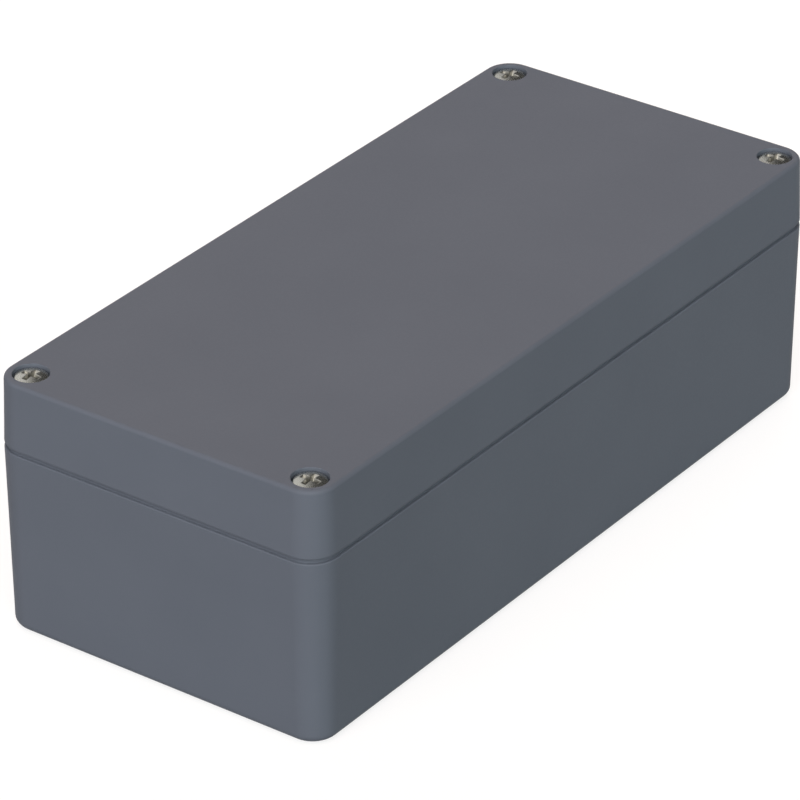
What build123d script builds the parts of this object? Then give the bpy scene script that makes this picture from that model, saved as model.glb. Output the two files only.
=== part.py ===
from build123d import *
import os

# A closed wall-mounting enclosure in glass-fibre reinforced polyester, in millimetres.
# X runs along its length, Y across its width and Z up. The origin is the centre of the underside.
# The two mouldings meet at the parting plane, where their outline is largest.

# Outside of the box
LENGTH = 175.0
WIDTH = 80.0
HEIGHT = 57.0
PARTING_HEIGHT = 42.2
CORNER_RADIUS = 6.4
LID_DRAFT = 1.9
BASE_DRAFT = 0.85
LID_EDGE_RADIUS = 0.9
BASE_EDGE_RADIUS = 2.0
SHADOW_GAP_HEIGHT = 1.0
SHADOW_GAP_DEPTH = 0.7

# Walls
WALL = 3.4
FLOOR = 3.0
ROOF = 3.0
CAVITY_CORNER_RADIUS = 3.0

# Corner blocks, outside the seal, with a lid screw and a wall screw in each
SCREW_INSET = 6.0
WALL_SCREW_OFFSET = 8.0
WALL_SCREW_CHANNEL = 8.0
WALL_SCREW_HOLE = 4.8
WALL_SCREW_FLOOR = 5.0
BLOCK_WALL = 2.6

# Seal: a rib on the base presses into a gasket in a groove of the lid
RIB_WIDTH = 1.0
RIB_HEIGHT = 0.9
RIB_CLEARANCE = 0.8
GROOVE_DEPTH = 2.6
GROOVE_WALL = 1.2
GASKET_CLEARANCE = 0.1

# Captive lid screws, M4 with a waisted neck
THREAD = 4.0
THREAD_CLEARANCE = 0.05
NECK = 3.1
SCREW_LENGTH = 20.0
HEAD = 7.0
HEAD_HEIGHT = 2.9
HEAD_BELOW_TOP = 0.2
HEAD_GAP = 0.25
RECESS_WIDTH = 1.0
RECESS_REACH = 4.2
RECESS_DEPTH = 1.6
WEB = 2.2
WEB_HOLE = 4.4

# Retainer, snapped on the neck of each screw, a hexagon that can't turn in its pocket
RETAINER_ACROSS_FLATS = 6.0
RETAINER_HEIGHT = 1.0
RETAINER_CLEARANCE = 0.05
RETAINER_POCKET_GAP = 0.2
RETAINER_SEAT_GAP = 0.1

# Threaded inserts of hexagonal bar, moulded in and closed at the bottom
INSERT_ACROSS_FLATS = 5.5
INSERT_BOTTOM = 1.0
INSERT_BELOW_TOP = 0.5
TIP_SPACE = 1.4
FLOOR_INSERT_LENGTH = 6.0
FLOOR_INSERT_BORE = 3.3

# Floor bosses for a mounting plate or a circuit board
BOSS_HEIGHT = 5.0
BOSS_WALL = 1.75
BOSS_FROM_WALL = 13.0
BOSS_FROM_BLOCK = 13.9
BOSS_COLUMNS = (-1, 0, 1)

# Heights and places that follow from these
seat_height = HEIGHT - HEAD_BELOW_TOP - HEAD_HEIGHT
counterbore = HEAD + 2 * HEAD_GAP
web_underside = seat_height - WEB
thread_bottom = seat_height - SCREW_LENGTH
neck_bottom = PARTING_HEIGHT + RETAINER_SEAT_GAP
retainer_bore_flats = NECK + 2 * RETAINER_CLEARANCE
retainer_pocket = RETAINER_ACROSS_FLATS + 2 * RETAINER_POCKET_GAP
pillar_insert_top = PARTING_HEIGHT - INSERT_BELOW_TOP
pillar_insert_length = pillar_insert_top - thread_bottom + TIP_SPACE + INSERT_BOTTOM
pillar_insert_bore = THREAD + 2 * THREAD_CLEARANCE
groove_top = PARTING_HEIGHT + GROOVE_DEPTH
rib_top = PARTING_HEIGHT + RIB_HEIGHT
roof_underside = HEIGHT - ROOF
boss_top = FLOOR + BOSS_HEIGHT
boss_across_flats = INSERT_ACROSS_FLATS + 2 * BOSS_WALL
screw_x = LENGTH / 2 - SCREW_INSET
screw_y = WIDTH / 2 - SCREW_INSET
wall_screw_y = screw_y - WALL_SCREW_OFFSET
block_face_x = screw_x - WALL_SCREW_CHANNEL / 2 - BLOCK_WALL
block_face_y = wall_screw_y - WALL_SCREW_CHANNEL / 2 - BLOCK_WALL
end_wall_x = LENGTH / 2 - WALL
side_wall_y = WIDTH / 2 - WALL
boss_x = block_face_x - BOSS_FROM_BLOCK
boss_y = side_wall_y - BOSS_FROM_WALL
corner_signs = ((-1, -1), (1, -1), (1, 1), (-1, 1))
screw_places = [(x * screw_x, y * screw_y) for x, y in corner_signs]
wall_screw_places = [(x * screw_x, y * wall_screw_y) for x, y in corner_signs]
boss_places = [(column * boss_x, side * boss_y) for side in (-1, 1) for column in BOSS_COLUMNS]


def turned(profile):
    """A solid turned about Z from (radius, height) points."""
    with BuildPart() as part:
        with BuildSketch(Plane.XZ):
            with BuildLine():
                Polyline(*profile, close=True)
            make_face()
        revolve(axis=Axis.Z)
    return part.part


def rods(places, diameter, low, high):
    """Upright round rods from one height to another, to add or to cut away."""
    with BuildPart() as upright:
        with Locations(*[Location((x, y, low)) for x, y in places]):
            Cylinder(diameter / 2, high - low, align=(Align.CENTER, Align.CENTER, Align.MIN))
    return upright.part


def hexagons(places, across_flats, low, high):
    """Upright hexagonal bars from one height to another, with two flats facing along Y."""
    with BuildPart() as upright:
        with BuildSketch(Plane.XY.offset(low)):
            with Locations(*places):
                RegularPolygon(across_flats / 2, 6, major_radius=False)
        extrude(amount=high - low)
    return upright.part


def rounded_block(inset, low, high):
    """A block on the outline of the parting plane, moved inwards by an inset."""
    with BuildPart() as block:
        with BuildSketch(Plane.XY.offset(low)):
            RectangleRounded(LENGTH - 2 * inset, WIDTH - 2 * inset, CORNER_RADIUS - inset)
        extrude(amount=high - low)
    return block.part


def stepped_block(growth, low, high):
    """A block on the stepped plan of the cavity, which steps in around the four corner blocks."""
    convex = CAVITY_CORNER_RADIUS + growth
    concave = CAVITY_CORNER_RADIUS - growth
    with BuildPart() as block:
        with BuildSketch(Plane.XY.offset(low)) as plan:
            Rectangle(2 * (end_wall_x + growth), 2 * (block_face_y + growth))
            Rectangle(2 * (block_face_x + growth), 2 * (side_wall_y + growth))
            fillet(nearest_first(plan)[len(corner_signs):], radius=convex)
            fillet(nearest_first(plan)[:len(corner_signs)], radius=concave)
        extrude(amount=high - low)
    return block.part


def nearest_first(plan):
    """Corners of the stepped plan, where those that jut into the cavity lie nearest the middle."""
    return plan.vertices().sort_by_distance((0, 0))


def side_faces(block):
    return block.faces().filter_by(lambda face: abs(face.normal_at().Z) < 0.5)


def drafted(block, height, angle):
    """The same block with its upright faces drawn in, away from the height where its size holds."""
    return draft(side_faces(block), Plane.XY.offset(height), angle)


def base_outside():
    """The base up to the shadow gap, with its land inside that gap."""
    shoulder = PARTING_HEIGHT - SHADOW_GAP_HEIGHT
    body = drafted(rounded_block(0, 0, shoulder), shoulder, -BASE_DRAFT)
    body = fillet(body.edges().group_by(Axis.Z)[0], BASE_EDGE_RADIUS)
    return body + rounded_block(SHADOW_GAP_DEPTH, shoulder, PARTING_HEIGHT)


def make_base():
    """Base moulding: outside, sealing rib, cavity, floor bosses and the holes in its corner blocks."""
    pillar_pocket_floor = pillar_insert_top - pillar_insert_length
    body = base_outside()
    body += stepped_block(RIB_WIDTH, PARTING_HEIGHT - RIB_HEIGHT, rib_top)
    body -= stepped_block(0, FLOOR, rib_top)
    body += hexagons(boss_places, boss_across_flats, FLOOR / 2, boss_top)
    body -= hexagons(boss_places, INSERT_ACROSS_FLATS, boss_top - FLOOR_INSERT_LENGTH, boss_top)
    body -= hexagons(screw_places, INSERT_ACROSS_FLATS, pillar_pocket_floor, PARTING_HEIGHT)
    body -= rods(wall_screw_places, WALL_SCREW_CHANNEL, WALL_SCREW_FLOOR, PARTING_HEIGHT)
    body -= rods(wall_screw_places, WALL_SCREW_HOLE, 0, WALL_SCREW_FLOOR)
    return body


def lid_outside():
    body = drafted(rounded_block(0, PARTING_HEIGHT, HEIGHT), PARTING_HEIGHT, LID_DRAFT)
    return fillet(body.edges().group_by(Axis.Z)[-1], LID_EDGE_RADIUS)


def lid_cavity():
    inward = RIB_CLEARANCE + GROOVE_WALL
    return stepped_block(-inward, PARTING_HEIGHT, roof_underside)


def gasket_groove():
    outer = stepped_block(RIB_WIDTH + RIB_CLEARANCE, PARTING_HEIGHT, groove_top)
    return outer - stepped_block(-RIB_CLEARANCE, PARTING_HEIGHT, groove_top)


def make_lid():
    """Lid moulding: outside, cavity, gasket groove and the stepped hole of each captive screw."""
    body = lid_outside()
    body -= lid_cavity()
    body -= gasket_groove()
    body -= rods(screw_places, counterbore, seat_height, HEIGHT)
    body -= rods(screw_places, WEB_HOLE, web_underside, seat_height)
    body -= hexagons(screw_places, retainer_pocket, PARTING_HEIGHT, web_underside)
    return body


def make_gasket():
    """Rubber cord in the lid's groove, pressed down to the top of the rib."""
    outer_growth = RIB_WIDTH + RIB_CLEARANCE - GASKET_CLEARANCE
    inner_growth = GASKET_CLEARANCE - RIB_CLEARANCE
    outer = stepped_block(outer_growth, rib_top, groove_top)
    return outer - stepped_block(inner_growth, rib_top, groove_top)


def cross_recess():
    """Cross cut into the head from its crown."""
    crown = seat_height + HEAD_HEIGHT
    with BuildPart() as recess:
        with BuildSketch(Plane.XY.offset(crown - RECESS_DEPTH)):
            Rectangle(RECESS_REACH, RECESS_WIDTH)
            Rectangle(RECESS_WIDTH, RECESS_REACH)
        extrude(amount=RECESS_DEPTH)
    return recess.part


def make_screw():
    """Cheese head with a cross recess, waisted neck and a plain shank at the thread's outer diameter."""
    crown = seat_height + HEAD_HEIGHT
    screw = turned([
        (0, thread_bottom),
        (THREAD / 2, thread_bottom),
        (THREAD / 2, neck_bottom),
        (NECK / 2, neck_bottom),
        (NECK / 2, seat_height),
        (HEAD / 2, seat_height),
        (HEAD / 2, crown),
        (0, crown),
    ])
    return screw - cross_recess()


def make_retainer():
    """Nylon retainer on the shoulder below the neck, with a six-sided bore that springs over the thread."""
    top = neck_bottom + RETAINER_HEIGHT
    bar = hexagons([(0, 0)], RETAINER_ACROSS_FLATS, neck_bottom, top)
    return bar - hexagons([(0, 0)], retainer_bore_flats, neck_bottom, top)


def make_insert(top, length, bore):
    """Hexagonal brass insert with a bore that stops short of its closed bottom."""
    bar = hexagons([(0, 0)], INSERT_ACROSS_FLATS, top - length, top)
    return bar - rods([(0, 0)], bore, top - length + INSERT_BOTTOM, top)


def write(name, solid):
    export_step(solid, f"parts/{name}.step")


def write_copies(name, solid, places):
    """One file for each place, numbered from 1."""
    for number, (x, y) in enumerate(places, start=1):
        write(f"{name}_{number}", Location((x, y, 0)) * solid)


os.makedirs("parts", exist_ok=True)
write("base", make_base())
write("lid", make_lid())
write("gasket", make_gasket())
write_copies("lid_screw", make_screw(), screw_places)
write_copies("screw_retainer", make_retainer(), screw_places)
pillar_insert = make_insert(pillar_insert_top, pillar_insert_length, pillar_insert_bore)
write_copies("pillar_insert", pillar_insert, screw_places)
floor_insert = make_insert(boss_top, FLOOR_INSERT_LENGTH, FLOOR_INSERT_BORE)
write_copies("floor_insert", floor_insert, boss_places)
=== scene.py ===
import math

import bmesh
import bpy
from mathutils import Matrix, Vector


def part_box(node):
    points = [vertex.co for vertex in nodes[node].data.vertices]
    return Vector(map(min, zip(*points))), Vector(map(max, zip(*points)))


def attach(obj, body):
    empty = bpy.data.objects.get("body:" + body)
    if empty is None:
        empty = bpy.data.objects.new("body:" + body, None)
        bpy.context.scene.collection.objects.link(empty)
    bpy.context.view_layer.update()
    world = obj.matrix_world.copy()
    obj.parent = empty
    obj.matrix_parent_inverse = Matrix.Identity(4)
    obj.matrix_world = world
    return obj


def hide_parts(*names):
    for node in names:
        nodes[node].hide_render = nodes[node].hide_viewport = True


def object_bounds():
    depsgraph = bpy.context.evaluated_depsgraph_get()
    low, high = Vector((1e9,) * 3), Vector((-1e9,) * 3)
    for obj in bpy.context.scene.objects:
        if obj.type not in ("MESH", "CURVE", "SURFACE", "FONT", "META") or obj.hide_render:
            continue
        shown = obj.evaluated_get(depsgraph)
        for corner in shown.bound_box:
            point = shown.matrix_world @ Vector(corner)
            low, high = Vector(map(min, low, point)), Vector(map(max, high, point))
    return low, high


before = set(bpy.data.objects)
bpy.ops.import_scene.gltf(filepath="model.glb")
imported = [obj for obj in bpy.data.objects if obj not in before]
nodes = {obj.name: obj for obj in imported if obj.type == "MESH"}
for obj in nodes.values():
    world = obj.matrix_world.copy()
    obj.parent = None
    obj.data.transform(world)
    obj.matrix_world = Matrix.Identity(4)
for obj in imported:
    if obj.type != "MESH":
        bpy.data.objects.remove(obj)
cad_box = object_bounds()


# Camera
# The box is seen from above its left front corner with a long lens, at the angle of the photograph.
# The aim point lies a little beside the middle of the box, because the photograph cuts its right end.
LENS_MM = 229.5
SENSOR_MM = 36.0
NEAR_CLIP = 0.01
FAR_CLIP = 20
TURN = math.radians(-53.965)
RISE = math.radians(29.87)
ROLL = math.radians(-0.14)
DISTANCE = 1.0479
AIM_RIGHT = -0.00354
AIM_UP = -0.00357

low, high = (Vector(corner) for corner in cad_box)
middle = (low + high) / 2
back = Vector((math.sin(TURN) * math.cos(RISE), -math.cos(TURN) * math.cos(RISE), math.sin(RISE)))
right = Vector((math.cos(TURN), math.sin(TURN), 0))
up = back.cross(right)
aim = middle + right * AIM_RIGHT + up * AIM_UP
tilted_right = right * math.cos(ROLL) + up * math.sin(ROLL)
tilted_up = up * math.cos(ROLL) - right * math.sin(ROLL)
facing = Matrix((tilted_right, tilted_up, back)).transposed().to_4x4()
lens = bpy.data.cameras.new("camera")
lens.lens = LENS_MM
lens.sensor_width = SENSOR_MM
lens.clip_start = NEAR_CLIP
lens.clip_end = FAR_CLIP
camera = bpy.data.objects.new("camera", lens)
camera.matrix_world = Matrix.Translation(aim + back * DISTANCE) @ facing
bpy.context.scene.collection.objects.link(camera)
bpy.context.scene.camera = camera
bpy.context.scene.view_settings.view_transform = "Standard"


# Base moulding
# The base is one compression moulding in glass-fibre reinforced polyester, coloured right through.
# The mould gives it a fine satin grain, and tumbling takes the sharpness off its edges.
MM = 0.001
BROKEN_EDGE = 0.14 * MM
PARTING_EDGE = 0.3 * MM
SHADOW_GAP = 1.0 * MM
SHARP_ANGLE = math.radians(30)
FLAT_ANGLE = math.radians(0.4)
WELD = 0.0005 * MM
SAME_LEVEL = 10 * WELD
FULL_WEIGHT = 100
NOISE_LOW = 0.3
NOISE_HIGH = 0.7


def joined_copy(node):
    """The CAD node's triangles, joined to each other and with its flat faces made whole."""
    mesh = bmesh.new()
    mesh.from_mesh(nodes[node].data)
    bmesh.ops.remove_doubles(mesh, verts=mesh.verts, dist=WELD)
    bmesh.ops.dissolve_limit(mesh, angle_limit=FLAT_ANGLE, verts=mesh.verts, edges=mesh.edges)
    return mesh


def is_sharp(edge):
    """Whether the edge's two faces meet at a clear angle."""
    return edge.is_manifold and edge.calc_face_angle() > SHARP_ANGLE


def round_edges(mesh, edges, width, segments):
    """Rounds the edges to a width on either side."""
    bmesh.ops.bevel(mesh, geom=edges, offset=width, offset_type="OFFSET", affect="EDGES",
                    segments=segments, profile=0.5, material=-1, clamp_overlap=False)


def break_edges(mesh, width, segments=2):
    """Rounds every edge that the mould or the tool would leave sharp."""
    round_edges(mesh, [e for e in mesh.edges if is_sharp(e)], width, segments)


def round_outline(mesh, height, width, segments=4):
    """Rounds the outermost sharp outline at a height, as along the shadow gap between base and lid."""
    level = {e for e in mesh.edges
             if is_sharp(e) and all(abs(v.co.z - height) < SAME_LEVEL for v in e.verts)}
    outline = set()
    ends = {max((v for e in level for v in e.verts), key=lambda v: v.co.x)}
    while ends:
        grown = {e for v in ends for e in v.link_edges if e in level} - outline
        outline |= grown
        ends = {v for e in grown for v in e.verts}
    round_edges(mesh, list(outline), width, segments)


def finished_piece(name, mesh, material, node, body):
    """The mesh as an object that stands for a CAD node, rides on its body and takes its finish."""
    bmesh.ops.recalc_face_normals(mesh, faces=mesh.faces)
    for face in mesh.faces:
        face.smooth = True
    data = bpy.data.meshes.new(name)
    mesh.to_mesh(data)
    mesh.free()
    data.materials.append(material)
    piece = bpy.data.objects.new(name, data)
    bpy.context.scene.collection.objects.link(piece)
    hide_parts(node)
    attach(piece, body)
    return piece


def flats_lead(piece):
    """Lets the large faces set the shading at a rounded edge, so that flats look flat."""
    weights = piece.modifiers.new("flats lead the shading", "WEIGHTED_NORMAL")
    weights.mode = "FACE_AREA"
    weights.weight = FULL_WEIGHT


def linear(hex_colour):
    """An sRGB colour such as #5A606A as the linear colour that a shader takes."""
    parts = [int(hex_colour[start:start + 2], 16) / 255 for start in (1, 3, 5)]
    return [c / 12.92 if c <= 0.04045 else ((c + 0.055) / 1.055) ** 2.4 for c in parts] + [1.0]


def put(tree, kind, inputs=None, stops=None, **settings):
    """Adds a node with its settings, and feeds its inputs from values or from other nodes' outputs."""
    node = tree.nodes.new(kind)
    for name, value in settings.items():
        setattr(node, name, value)
    for name, value in (inputs or {}).items():
        if isinstance(value, bpy.types.NodeSocket):
            tree.links.new(value, node.inputs[name])
        else:
            node.inputs[name].default_value = value
    if stops:
        for element, (position, colour) in zip(node.color_ramp.elements, stops):
            element.position = position
            element.color = colour
    return node


def blank_material(name):
    """A new material with its node tree and an output that nothing is joined to yet."""
    material = bpy.data.materials.new(name)
    material.use_nodes = True
    tree = material.node_tree
    tree.nodes.clear()
    return material, tree, tree.nodes.new("ShaderNodeOutputMaterial")


def moulded_polyester():
    """Glass-fibre reinforced polyester, moulded and through-coloured: satin, cool dark grey.

    The grain of the mould breaks up its gloss, and the resin flows to faintly lighter and darker clouds.
    The grain is drawn coarser than the mould's own, so that it shows.
    """
    GRAIN_MM = 0.45
    GRAIN_DEPTH_MM = 0.012
    CLOUD_MM = 22.0
    DARK_CLOUD = linear("#585E68")
    PALE_CLOUD = linear("#5A606A")
    LOW_ROUGHNESS = 0.52
    HIGH_ROUGHNESS = 0.62
    material, tree, output = blank_material("moulded_polyester")
    place = put(tree, "ShaderNodeTexCoord").outputs["Object"]
    grain = put(tree, "ShaderNodeTexNoise", {"Vector": place, "Scale": 1 / (GRAIN_MM * MM), "Detail": 2.0})
    clouds = put(tree, "ShaderNodeTexNoise", {"Vector": place, "Scale": 1 / (CLOUD_MM * MM), "Detail": 3.0})
    colour = put(tree, "ShaderNodeValToRGB", {"Fac": clouds.outputs["Fac"]},
                 stops=[(NOISE_LOW, DARK_CLOUD), (NOISE_HIGH, PALE_CLOUD)])
    gloss = put(tree, "ShaderNodeMapRange", {
        "Value": grain.outputs["Fac"], "From Min": NOISE_LOW, "From Max": NOISE_HIGH,
        "To Min": LOW_ROUGHNESS, "To Max": HIGH_ROUGHNESS})
    relief = put(tree, "ShaderNodeBump", {
        "Height": grain.outputs["Fac"], "Distance": GRAIN_DEPTH_MM * MM, "Strength": 0.5})
    surface = put(tree, "ShaderNodeBsdfPrincipled", {
        "Base Color": colour.outputs["Color"], "Roughness": gloss.outputs["Result"],
        "Normal": relief.outputs["Normal"], "IOR": 1.5, "Specular IOR Level": 0.1})
    tree.links.new(surface.outputs["BSDF"], output.inputs["Surface"])
    return material


polyester = moulded_polyester()
base_mesh = joined_copy("base")
round_outline(base_mesh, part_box("lid")[0].z - SHADOW_GAP, PARTING_EDGE)
break_edges(base_mesh, BROKEN_EDGE)
base = finished_piece("base_moulding", base_mesh, polyester, "base", "base")
flats_lead(base)


# Threaded inserts
# Ten brass inserts are moulded into the base: four in its corner blocks and six in its floor bosses.
# Each is cut from hexagonal bar, chamfered, drilled blind and tapped M4. Its flats keep it from turning.
CORNERS = (1, 2, 3, 4)
FLOOR_BOSSES = (1, 2, 3, 4, 5, 6)
PITCH = 0.7
FLANK_SLOPE = math.tan(math.radians(30))
THREAD_STEPS = 48
SEAM_GAP = PITCH / 500
ON_PLANE = 1e-6
AT_HEIGHT = 1e-4
SIXTH_TURN = math.radians(60)
NUT_CREST_RADIUS = 1.65
NUT_ROOT_RADIUS = 2.04
NUT_ROOT_FLAT = 0.12
BAR_CHAMFER = 0.35
COUNTERSINK_RADIUS = 2.25
COUNTERSINK_DEPTH = 0.45
THREAD_RELIEF = 0.05
DRILL_POINT_DEPTH = 0.6
DRILL_POINT_RADIUS = 0.1
INSERT_FLOOR = 1.0


def thread(inner, outer, outer_flat, low_end, high_end):
    """An open threaded wall about Z between two heights in millimetres, with right-hand 60 degree flanks.

    Its turns are counted from height 0, so that a screw and its nut are always in step.
    """
    flank = (outer - inner) * FLANK_SLOPE
    inner_flat = PITCH - outer_flat - 2 * flank
    start = (math.floor(low_end / PITCH) - 1) * PITCH
    turns = math.ceil((high_end - start) / PITCH) + 1
    mesh = bmesh.new()
    line = [mesh.verts.new((inner, 0, start))]
    for turn in range(turns):
        height = start + turn * PITCH
        for radius, rise in ((inner, inner_flat), (outer, flank), (outer, outer_flat), (inner, flank)):
            height += rise
            line.append(mesh.verts.new((radius, 0, height)))
    edges = [mesh.edges.new(pair) for pair in zip(line, line[1:])]
    bmesh.ops.spin(mesh, geom=line + edges, cent=(0, 0, 0), axis=(0, 0, 1), angle=2 * math.pi,
                   steps=THREAD_STEPS, dvec=(0, 0, PITCH / THREAD_STEPS), use_merge=False)
    bmesh.ops.remove_doubles(mesh, verts=mesh.verts, dist=SEAM_GAP)
    for height, side in ((low_end, -1), (high_end, 1)):
        bmesh.ops.bisect_plane(mesh, geom=mesh.verts[:] + mesh.edges[:] + mesh.faces[:], dist=ON_PLANE,
                               plane_co=(0, 0, height), plane_no=(0, 0, side), clear_outer=True)
    return mesh


def rim_at(mesh, height):
    """The open edges of the mesh at a height."""
    return [e for e in mesh.edges
            if e.is_boundary and all(abs(v.co.z - height) < AT_HEIGHT for v in e.verts)]


def hexagon_reach(flat_radius, angle):
    """Distance from the axis to a hexagon's outline, with two corners on the X axis."""
    return flat_radius / math.cos(angle % SIXTH_TURN - SIXTH_TURN / 2)


def carry_rim(mesh, rim, stages):
    """Carries an open rim from outline to outline, and returns the last one.

    Each outline has a radius, a height and a form: round, or hexagonal with the radius to its flats.
    """
    for radius, height, form in stages:
        grown = bmesh.ops.extrude_edge_only(mesh, edges=rim)["geom"]
        for vert in (part for part in grown if isinstance(part, bmesh.types.BMVert)):
            angle = math.atan2(vert.co.y, vert.co.x)
            reach = radius if form == "round" else hexagon_reach(radius, angle)
            vert.co = (reach * math.cos(angle), reach * math.sin(angle), height)
        rim = [part for part in grown if isinstance(part, bmesh.types.BMEdge) and part.is_boundary]
    return rim


def close_rim(mesh, rim):
    """Closes an open rim with one face."""
    bmesh.ops.edgeloop_fill(mesh, edges=rim)


def put_in_place(mesh, place):
    """Turns a mesh in millimetres about its own axis into metres, on the axis of its CAD node."""
    matrix = Matrix.Translation((place.x, place.y, 0)) @ Matrix.Scale(MM, 4)
    bmesh.ops.transform(mesh, matrix=matrix, verts=mesh.verts)


def insert_mesh(bottom, top, across_flats):
    """One insert, from the heights of its ends and the size of its bar."""
    thread_low = bottom + INSERT_FLOOR + DRILL_POINT_DEPTH
    thread_high = top - COUNTERSINK_DEPTH
    mesh = thread(NUT_CREST_RADIUS, NUT_ROOT_RADIUS, NUT_ROOT_FLAT, thread_low, thread_high)
    flats = across_flats / 2
    outside = carry_rim(mesh, rim_at(mesh, thread_high), [
        (COUNTERSINK_RADIUS, top, "round"),
        (flats - BAR_CHAMFER / 2, top, "hexagon"),
        (flats, top - BAR_CHAMFER / 2, "hexagon"),
        (flats, bottom, "hexagon"),
    ])
    close_rim(mesh, outside)
    drilled = carry_rim(mesh, rim_at(mesh, thread_low), [
        (NUT_CREST_RADIUS, thread_low - THREAD_RELIEF, "round"),
        (DRILL_POINT_RADIUS, bottom + INSERT_FLOOR, "round"),
    ])
    close_rim(mesh, drilled)
    return mesh


def turned_brass():
    """Free-cutting brass, turned and tapped: bright warm yellow, with fine tool marks and some tarnish."""
    TOOL_MARK_MM = 0.12
    TOOL_MARK_DEPTH_MM = 0.004
    TARNISH_MM = 3.0
    TARNISHED = linear("#C09A55")
    BRIGHT = linear("#D8B56C")
    TARNISH_ENDS = 0.35
    BRIGHT_STARTS = 0.65
    TARNISHED_ROUGHNESS = 0.34
    BRIGHT_ROUGHNESS = 0.24
    material, tree, output = blank_material("turned_brass")
    place = put(tree, "ShaderNodeTexCoord").outputs["Object"]
    marks = put(tree, "ShaderNodeTexNoise", {
        "Vector": place, "Scale": 1 / (TOOL_MARK_MM * MM), "Detail": 1.0})
    tarnish = put(tree, "ShaderNodeTexNoise", {
        "Vector": place, "Scale": 1 / (TARNISH_MM * MM), "Detail": 4.0})
    colour = put(tree, "ShaderNodeValToRGB", {"Fac": tarnish.outputs["Fac"]},
                 stops=[(TARNISH_ENDS, TARNISHED), (BRIGHT_STARTS, BRIGHT)])
    gloss = put(tree, "ShaderNodeMapRange", {
        "Value": tarnish.outputs["Fac"], "From Min": NOISE_LOW, "From Max": NOISE_HIGH,
        "To Min": TARNISHED_ROUGHNESS, "To Max": BRIGHT_ROUGHNESS})
    relief = put(tree, "ShaderNodeBump", {
        "Height": marks.outputs["Fac"], "Distance": TOOL_MARK_DEPTH_MM * MM, "Strength": 0.4})
    surface = put(tree, "ShaderNodeBsdfPrincipled", {
        "Base Color": colour.outputs["Color"], "Metallic": 1.0, "Roughness": gloss.outputs["Result"],
        "Normal": relief.outputs["Normal"]})
    tree.links.new(surface.outputs["BSDF"], output.inputs["Surface"])
    return material


brass = turned_brass()
insert_nodes = [f"pillar_insert_{n}" for n in CORNERS] + [f"floor_insert_{n}" for n in FLOOR_BOSSES]
for node in insert_nodes:
    low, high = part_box(node)
    mesh = insert_mesh(low.z / MM, high.z / MM, (high.y - low.y) / MM)
    put_in_place(mesh, (low + high) / 2)
    insert = finished_piece(f"{node}_brass", mesh, brass, node, "base")
    insert.data.set_sharp_from_angle(angle=SHARP_ANGLE)


# Lid moulding
# The lid is moulded in the same polyester as the base and closes over its sealing rib.
# Each corner has a counterbore for a screw head and, below, a hexagonal pocket for its retainer.
lid_mesh = joined_copy("lid")
round_outline(lid_mesh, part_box("lid")[0].z, PARTING_EDGE)
break_edges(lid_mesh, BROKEN_EDGE)
lid = finished_piece("lid_moulding", lid_mesh, polyester, "lid", "lid")
flats_lead(lid)


# Gasket
# A cord of black rubber lies in the groove of the lid, cut to length and joined into a ring.
# Its edges are rounded, and the rib of the base presses into it when the lid is closed.
GASKET_ROUNDING = 0.45 * MM


def extruded_rubber():
    """Black EPDM cord, extruded: matt and almost without highlights, with a dusty fine skin."""
    SKIN_MM = 0.3
    SKIN_DEPTH_MM = 0.02
    BLACK = linear("#1B1B1C")
    DUSTY = linear("#262627")
    material, tree, output = blank_material("extruded_rubber")
    place = put(tree, "ShaderNodeTexCoord").outputs["Object"]
    skin = put(tree, "ShaderNodeTexNoise", {"Vector": place, "Scale": 1 / (SKIN_MM * MM), "Detail": 3.0})
    colour = put(tree, "ShaderNodeValToRGB", {"Fac": skin.outputs["Fac"]},
                 stops=[(NOISE_LOW, BLACK), (NOISE_HIGH, DUSTY)])
    relief = put(tree, "ShaderNodeBump", {
        "Height": skin.outputs["Fac"], "Distance": SKIN_DEPTH_MM * MM, "Strength": 0.5})
    surface = put(tree, "ShaderNodeBsdfPrincipled", {
        "Base Color": colour.outputs["Color"], "Roughness": 0.78, "Normal": relief.outputs["Normal"],
        "IOR": 1.5})
    tree.links.new(surface.outputs["BSDF"], output.inputs["Surface"])
    return material


gasket_mesh = joined_copy("gasket")
break_edges(gasket_mesh, GASKET_ROUNDING, segments=3)
gasket = finished_piece("gasket_cord", gasket_mesh, extruded_rubber(), "gasket", "lid")
flats_lead(gasket)


# Lid screws
# Four captive M4 screws, cold formed in stainless steel, with a domed cheese head and a cross recess.
# Below the head each has a waisted neck, so that the lid can hold it once it is turned out.
SCREW_CREST_RADIUS = 1.98
SCREW_ROOT_RADIUS = 1.57
SCREW_CREST_FLAT = 0.09
TIP_RADIUS = SCREW_ROOT_RADIUS - 0.1
THREAD_RUNOUT = 0.5
NECK_RADIUS = 1.55
NECK_FILLET = 0.1
HEAD_HEIGHT = 2.9
HEAD_CHAMFER = 0.15
HEAD_ROUNDING = 0.35
HEAD_ROUNDING_ANGLES = (0, 22, 45, 68)
DOME_RISE = 0.45
DOME_LOOPS = 8
DOME_MARGIN = 0.05
RECESS_WIDTH = 1.1
RECESS_REACH = 4.2
RECESS_DEPTH = 1.6
RECESS_TAPER = 0.56
RECESS_WING_RISE = 0.15
RECESS_ROUNDING = 0.06
ON_RECESS_PLANE = 1e-5


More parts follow.
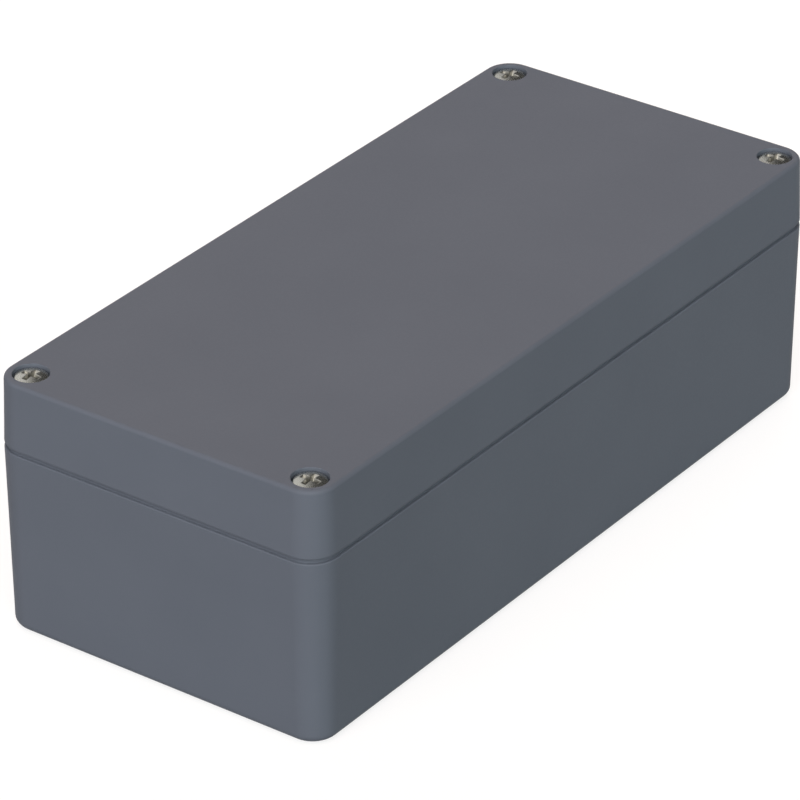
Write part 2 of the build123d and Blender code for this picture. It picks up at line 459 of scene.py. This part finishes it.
def screw_mesh(tip, neck_bottom, crown, head_radius):
    """One screw, from the heights of its tip, its neck's lower end and its crown."""
    seat = crown - HEAD_HEIGHT
    rim = crown - DOME_RISE
    thread_top = neck_bottom - THREAD_RUNOUT
    mesh = thread(SCREW_ROOT_RADIUS, SCREW_CREST_RADIUS, SCREW_CREST_FLAT, tip, thread_top)
    for vert in mesh.verts:
        reach = math.hypot(vert.co.x, vert.co.y)
        allowed = TIP_RADIUS + vert.co.z - tip
        if reach > allowed:
            vert.co.xy *= allowed / reach
    close_rim(mesh, rim_at(mesh, tip))
    dome_radius = head_radius - HEAD_ROUNDING
    rounding = []
    for angle in HEAD_ROUNDING_ANGLES:
        out = HEAD_ROUNDING * math.cos(math.radians(angle))
        drop = HEAD_ROUNDING * (1 - math.sin(math.radians(angle)))
        rounding.append((dome_radius + out, rim - drop, "round"))
    dome = []
    for step in range(DOME_LOOPS):
        share = 1 - step / DOME_LOOPS
        dome.append((dome_radius * share, crown - DOME_RISE * share ** 2, "round"))
    head = carry_rim(mesh, rim_at(mesh, thread_top), [
        (NECK_RADIUS, neck_bottom, "round"),
        (NECK_RADIUS, seat - NECK_FILLET, "round"),
        (NECK_RADIUS + NECK_FILLET, seat, "round"),
        (head_radius - HEAD_CHAMFER, seat, "round"),
        (head_radius, seat + HEAD_CHAMFER, "round"),
    ] + rounding + dome)
    close_rim(mesh, head)
    cut_recess(mesh, crown, rim)
    return mesh


def dome_faces(mesh, rim):
    """The faces of the head's dome, above its rim."""
    return [f for f in mesh.faces if f.calc_center_median().z > rim - DOME_MARGIN]


def cut_recess(mesh, crown, rim):
    """Presses the tapered cross into the dome, deepest in the middle, and rolls its rim.

    The faces inside it are marked: the punch leaves them duller than the head, and their colour is darkened
    there as painted shade.
    """
    recess_shade_and_dullness = mesh.faces.layers.float.new("recess_shade_and_dullness")
    arm = RECESS_WIDTH / 2
    span = RECESS_REACH / 2
    for axis in (Vector((1, 0, 0)), Vector((0, 1, 0))):
        for offset in (-span, -arm, arm, span):
            dome = dome_faces(mesh, rim)
            edges = {e for f in dome for e in f.edges}
            verts = {v for f in dome for v in f.verts}
            bmesh.ops.bisect_plane(mesh, geom=[*verts, *edges, *dome], dist=ON_RECESS_PLANE,
                                   plane_co=axis * offset, plane_no=axis)
    cross = []
    for face in dome_faces(mesh, rim):
        centre = face.calc_center_median()
        x, y = abs(centre.x), abs(centre.y)
        if (x < arm and y < span) or (x < span and y < arm):
            cross.append(face)
    pressed = bmesh.ops.extrude_face_region(mesh, geom=cross)["geom"]
    for vert in (part for part in pressed if isinstance(part, bmesh.types.BMVert)):
        vert.co.xy *= RECESS_TAPER
        outward = max(0.0, math.hypot(vert.co.x, vert.co.y) / RECESS_TAPER - arm) / (span - arm)
        vert.co.z = crown - RECESS_DEPTH + RECESS_WING_RISE * outward
    floor_faces = {part for part in pressed if isinstance(part, bmesh.types.BMFace)}
    walls = {f for face in floor_faces for e in face.edges for f in e.link_faces} - floor_faces
    rolled = [e for wall in walls for e in wall.edges
              if not floor_faces.intersection(e.link_faces) and not walls.issuperset(e.link_faces)]
    bmesh.ops.delete(mesh, geom=[f for f in cross if f.is_valid], context="FACES_ONLY")
    for face in floor_faces | walls:
        face[recess_shade_and_dullness] = 1.0
    cuts = {e for f in dome_faces(mesh, rim) if f not in walls for e in f.edges}
    bmesh.ops.dissolve_limit(mesh, angle_limit=FLAT_ANGLE, verts=list({v for e in cuts for v in e.verts}),
                             edges=list(cuts.difference(rolled)))
    round_edges(mesh, [e for e in rolled if e.is_valid], RECESS_ROUNDING, 2)


def cold_formed_steel():
    """Stainless steel, cold formed and tumbled: warm grey metal with soft, slightly smeared reflections.

    Inside the recess it is rougher, as the punch leaves it, and its colour is darkened there as painted
    shade.
    """
    SCRATCH_MM = 0.25
    SCRATCH_DEPTH_MM = 0.006
    DARK_STEEL = linear("#CDCBC2")
    PALE_STEEL = linear("#DBD9D1")
    LOW_ROUGHNESS = 0.2
    HIGH_ROUGHNESS = 0.32
    RECESS_PAINTED_SHADE = 0.65
    PUNCHED_DULLNESS = 0.08
    material, tree, output = blank_material("cold_formed_steel")
    place = put(tree, "ShaderNodeTexCoord").outputs["Object"]
    marks = put(tree, "ShaderNodeTexNoise", {
        "Vector": place, "Scale": 1 / (SCRATCH_MM * MM), "Detail": 3.0})
    colour = put(tree, "ShaderNodeValToRGB", {"Fac": marks.outputs["Fac"]},
                 stops=[(NOISE_LOW, DARK_STEEL), (NOISE_HIGH, PALE_STEEL)])
    recess_shade_and_dullness = put(tree, "ShaderNodeAttribute", attribute_name="recess_shade_and_dullness").outputs["Fac"]
    # Painted shade: inside the recess the steel's colour is darkened to a fixed share.
    painted_shade_factor = put(tree, "ShaderNodeMapRange", {"Value": recess_shade_and_dullness, "To Min": 1.0, "To Max": RECESS_PAINTED_SHADE})
    shade = put(tree, "ShaderNodeVectorMath", {0: colour.outputs["Color"], "Scale": painted_shade_factor.outputs["Result"]},
                operation="SCALE")
    gloss = put(tree, "ShaderNodeMapRange", {
        "Value": marks.outputs["Fac"], "From Min": NOISE_LOW, "From Max": NOISE_HIGH,
        "To Min": LOW_ROUGHNESS, "To Max": HIGH_ROUGHNESS})
    dullness = put(tree, "ShaderNodeMath", {0: recess_shade_and_dullness, 1: PUNCHED_DULLNESS, 2: gloss.outputs["Result"]},
                   operation="MULTIPLY_ADD")
    relief = put(tree, "ShaderNodeBump", {
        "Height": marks.outputs["Fac"], "Distance": SCRATCH_DEPTH_MM * MM, "Strength": 0.4})
    surface = put(tree, "ShaderNodeBsdfPrincipled", {
        "Base Color": shade.outputs["Vector"], "Metallic": 1.0, "Roughness": dullness.outputs["Value"],
        "Normal": relief.outputs["Normal"]})
    tree.links.new(surface.outputs["BSDF"], output.inputs["Surface"])
    return material


steel = cold_formed_steel()
for n in CORNERS:
    low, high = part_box(f"lid_screw_{n}")
    neck_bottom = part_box(f"screw_retainer_{n}")[0].z
    mesh = screw_mesh(low.z / MM, neck_bottom / MM, high.z / MM, (high.y - low.y) / 2 / MM)
    put_in_place(mesh, (low + high) / 2)
    screw = finished_piece(f"lid_screw_{n}_steel", mesh, steel,
                           f"lid_screw_{n}", f"screw_{n}")
    screw.data.set_sharp_from_angle(angle=SHARP_ANGLE)


# Screw retainers
# A hexagonal washer of natural nylon is sprung over each thread and sits on the shoulder below the neck.
# Its own pocket in the lid lets it rise with the screw and keeps it from turning.
RETAINER_ROUNDING = 0.1 * MM


def moulded_nylon():
    """Natural nylon, injection moulded: milky off-white and faintly glossy, with a little light in it."""
    CLOUD_MM = 1.5
    LIGHT_PATH_MM = 0.5
    DARK_CLOUD = linear("#D6D1C2")
    PALE_CLOUD = linear("#E0DCCF")
    LOW_ROUGHNESS = 0.36
    HIGH_ROUGHNESS = 0.46
    material, tree, output = blank_material("moulded_nylon")
    place = put(tree, "ShaderNodeTexCoord").outputs["Object"]
    clouds = put(tree, "ShaderNodeTexNoise", {"Vector": place, "Scale": 1 / (CLOUD_MM * MM), "Detail": 2.0})
    colour = put(tree, "ShaderNodeValToRGB", {"Fac": clouds.outputs["Fac"]},
                 stops=[(NOISE_LOW, DARK_CLOUD), (NOISE_HIGH, PALE_CLOUD)])
    gloss = put(tree, "ShaderNodeMapRange", {
        "Value": clouds.outputs["Fac"], "From Min": NOISE_LOW, "From Max": NOISE_HIGH,
        "To Min": LOW_ROUGHNESS, "To Max": HIGH_ROUGHNESS})
    surface = put(tree, "ShaderNodeBsdfPrincipled", {
        "Base Color": colour.outputs["Color"], "Roughness": gloss.outputs["Result"], "IOR": 1.53,
        "Subsurface Weight": 0.2, "Subsurface Scale": LIGHT_PATH_MM * MM})
    tree.links.new(surface.outputs["BSDF"], output.inputs["Surface"])
    return material


nylon = moulded_nylon()
for n in CORNERS:
    mesh = joined_copy(f"screw_retainer_{n}")
    break_edges(mesh, RETAINER_ROUNDING)
    retainer = finished_piece(f"screw_retainer_{n}_nylon", mesh, nylon,
                              f"screw_retainer_{n}", f"ring_{n}")
    flats_lead(retainer)


# Studio
# The box stands on a white sheet that keeps a faint shadow. A large soft lamp is to the left of the camera,
# a warm one is overhead, one behind lights the hidden sides, and a weak cool one lights the right side.
# The metal heads mirror a room that is bright on the photograph's left and dark on its right.
SHEET_SIZE = 6.0
SHEET_DROP = 0.0002
SHEET_GLOW = 0.78
KEY_FROM = Vector((-0.745, -0.385, 0.545))
KEY_STRENGTH = 4.18
KEY_SOFTNESS = math.radians(80)
OVERHEAD_FROM = Vector((0, 0, 1))
OVERHEAD_STRENGTH = 0.63
OVERHEAD_SOFTNESS = math.radians(40)
FILL_FROM = Vector((0.72, 0.58, 0.13))
FILL_STRENGTH = 3.4
FILL_SOFTNESS = math.radians(60)
COOL_FROM = Vector((-0.05, -0.99, 0.12))
COOL_STRENGTH = 0.52
COOL_SOFTNESS = math.radians(60)
ROOM_LIGHT = 0.04
ROOM_BRIGHT = 0.72
ROOM_DARK = 0.06
BRIGHT_FROM = 0.3
DARK_FROM = -0.1


def seen_directly(tree):
    """1 on what the camera, a reflection or glass sees, and 0 on light that only bounces."""
    path = put(tree, "ShaderNodeLightPath")
    shown = put(tree, "ShaderNodeMath", {
        0: path.outputs["Is Camera Ray"], 1: path.outputs["Is Glossy Ray"]}, operation="MAXIMUM")
    return put(tree, "ShaderNodeMath", {
        0: shown.outputs[0], 1: path.outputs["Is Transmission Ray"]}, operation="MAXIMUM").outputs[0]


def white_sheet():
    """Matt white paper, lit by the lamps, with a glow of its own where it is seen, so that it is white."""
    material, tree, output = blank_material("white_sheet")
    paper = put(tree, "ShaderNodeBsdfDiffuse", {"Color": linear("#898989")})
    glow = put(tree, "ShaderNodeEmission", {"Strength": SHEET_GLOW})
    none = put(tree, "ShaderNodeEmission", {"Strength": 0.0})
    shown = put(tree, "ShaderNodeMixShader", {
        0: seen_directly(tree), 1: none.outputs[0], 2: glow.outputs[0]})
    both = put(tree, "ShaderNodeAddShader", {0: paper.outputs[0], 1: shown.outputs[0]})
    tree.links.new(both.outputs[0], output.inputs["Surface"])
    return material


sheet_mesh = bmesh.new()
bmesh.ops.create_grid(sheet_mesh, x_segments=1, y_segments=1, size=SHEET_SIZE / 2)
bmesh.ops.translate(sheet_mesh, vec=(0, 0, cad_box[0][2] - SHEET_DROP), verts=sheet_mesh.verts)
sheet_data = bpy.data.meshes.new("floor")
sheet_mesh.to_mesh(sheet_data)
sheet_mesh.free()
sheet_data.materials.append(white_sheet())
floor = bpy.data.objects.new("floor", sheet_data)
bpy.context.scene.collection.objects.link(floor)

for name, place, strength, softness, colour in (
        ("key", KEY_FROM, KEY_STRENGTH, KEY_SOFTNESS, "#FFFCFB"),
        ("overhead", OVERHEAD_FROM, OVERHEAD_STRENGTH, OVERHEAD_SOFTNESS, "#FFCDB8"),
        ("fill", FILL_FROM, FILL_STRENGTH, FILL_SOFTNESS, "#FFEFE4"),
        ("cool", COOL_FROM, COOL_STRENGTH, COOL_SOFTNESS, "#CFFFF2")):
    light = bpy.data.lights.new(name, "SUN")
    light.energy = strength
    light.angle = softness
    light.color = linear(colour)[:3]
    lamp = bpy.data.objects.new(name, light)
    lamp.matrix_world = place.to_track_quat("Z", "Y").to_matrix().to_4x4()
    lamp.visible_glossy = name == "key"
    bpy.context.scene.collection.objects.link(lamp)


def shaded_room():
    """White where it is seen, and in reflections bright on the photograph's left and dark on its right."""
    room = bpy.data.worlds.new("room")
    room.use_nodes = True
    tree = room.node_tree
    tree.nodes.clear()
    path = put(tree, "ShaderNodeLightPath").outputs["Is Camera Ray"]
    towards = put(tree, "ShaderNodeTexCoord").outputs["Generated"]
    leftward = put(tree, "ShaderNodeVectorMath", {0: towards, 1: -right}, operation="DOT_PRODUCT")
    side = put(tree, "ShaderNodeMapRange", {
        "Value": leftward.outputs["Value"], "From Min": DARK_FROM, "From Max": BRIGHT_FROM,
        "To Min": ROOM_DARK, "To Max": ROOM_BRIGHT}, interpolation_type="SMOOTHSTEP")
    level = put(tree, "ShaderNodeMath", {0: path, 1: side.outputs["Result"]}, operation="MAXIMUM")
    white = linear("#FFFFFF")
    soft = put(tree, "ShaderNodeBackground", {"Color": white, "Strength": ROOM_LIGHT})
    shown = put(tree, "ShaderNodeBackground", {"Color": white, "Strength": level.outputs[0]})
    both = put(tree, "ShaderNodeMixShader", {
        0: seen_directly(tree), 1: soft.outputs[0], 2: shown.outputs[0]})
    put(tree, "ShaderNodeOutputWorld", {"Surface": both.outputs[0]})
    return room


bpy.context.scene.world = shaded_room()
